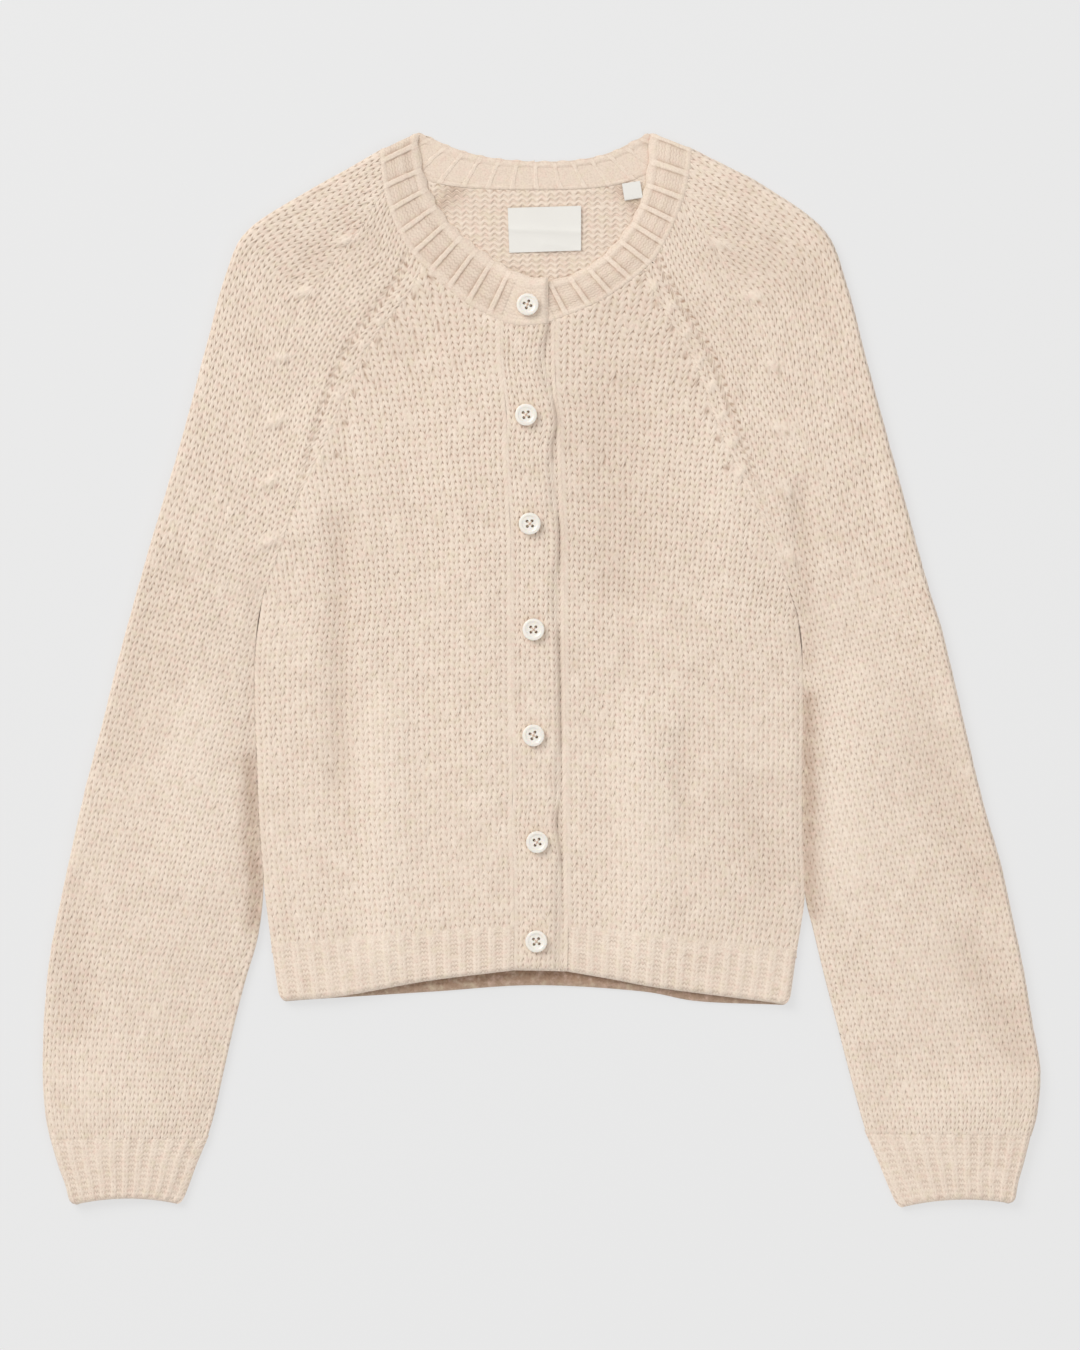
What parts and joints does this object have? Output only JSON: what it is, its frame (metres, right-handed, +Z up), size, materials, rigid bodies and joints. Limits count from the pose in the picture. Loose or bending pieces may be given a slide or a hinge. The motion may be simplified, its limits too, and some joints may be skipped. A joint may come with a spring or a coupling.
{
  "type": "button_cardigan",
  "caption": "Cream chunky wool raglan cardigan laid flat, with ribbed neckband, cuffs and hem and a row of round four-hole buttons",
  "frame": {"origin": "centre of the outline's box, on the surface that the cardigan lies on", "axes": "+X across the garment to the wearer's left, +Y from the hem to the neck, +Z up off the surface"},
  "size_m": [0.6798, 0.7327, 0.0145],
  "materials": {
    "wool_knit": "stockinette in soft brushed cream wool, matt",
    "wool_rib": "ribbed knit in the same cream wool, matt",
    "ivory_button": "polished ivory-white button",
    "woven_tape": "bare off-white woven tape"
  },
  "bodies": {
    "root": {"back": "wool_knit", "hem_back": "wool_rib", "front_right": "wool_knit", "hem_front_right": "wool_rib", "front_left": "wool_knit", "hem_front_left": "wool_rib", "sleeve_right": "wool_knit", "cuff_right": "wool_rib", "sleeve_left": "wool_knit", "cuff_left": "wool_rib", "neckband": "wool_rib", "button_band": "wool_knit", "under_band": "wool_knit", "button_1": "ivory_button", "button_2": "ivory_button", "button_3": "ivory_button", "button_4": "ivory_button", "button_5": "ivory_button", "button_6": "ivory_button", "button_7": "ivory_button", "neck_label": "woven_tape", "size_tab": "woven_tape"}
  },
  "joints": []
}
